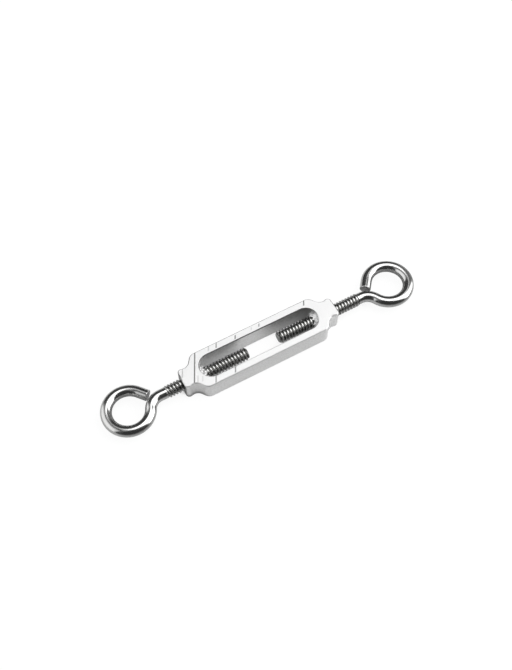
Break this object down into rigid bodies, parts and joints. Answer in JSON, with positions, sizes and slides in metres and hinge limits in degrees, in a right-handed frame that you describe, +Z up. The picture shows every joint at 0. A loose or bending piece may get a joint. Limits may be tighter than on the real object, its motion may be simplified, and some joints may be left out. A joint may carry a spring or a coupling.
{
  "type": "eye and eye turnbuckle",
  "caption": "Aluminium turnbuckle with a slotted open body and a threaded wire eye bolt screwed into each end, used to tension a line.",
  "frame": {"origin": "centre of the body's underside, on which the part lies", "axes": "+X along the two screws, from the right-hand eye bolt to the left-hand one; +Y across the body's two rails; +Z up through the slot"},
  "size_m": [0.147, 0.0234, 0.0095],
  "materials": {
    "body_aluminium": "pale satin aluminium with fine draw lines and a few thin tool marks",
    "bright_steel": "bright polished steel wire with a rolled thread"
  },
  "bodies": {
    "body": {"turnbuckle_body": "body_aluminium"},
    "right_hand_eye_bolt": {"eye_bolt_right_hand": "bright_steel"},
    "left_hand_eye_bolt": {"eye_bolt_left_hand": "bright_steel"}
  },
  "joints": [
    {"name": "right_hand_screw", "type": "slide", "parent": "body", "child": "right_hand_eye_bolt", "axis": [-1, 0, 0], "range_m": [-0.006, 0.0185]},
    {"name": "left_hand_screw", "type": "slide", "parent": "body", "child": "left_hand_eye_bolt", "axis": [1, 0, 0], "range_m": [-0.006, 0.0185]}
  ],
  "couplings": [
    {"joint": "left_hand_screw", "follows": "right_hand_screw", "ratio": 1}
  ]
}
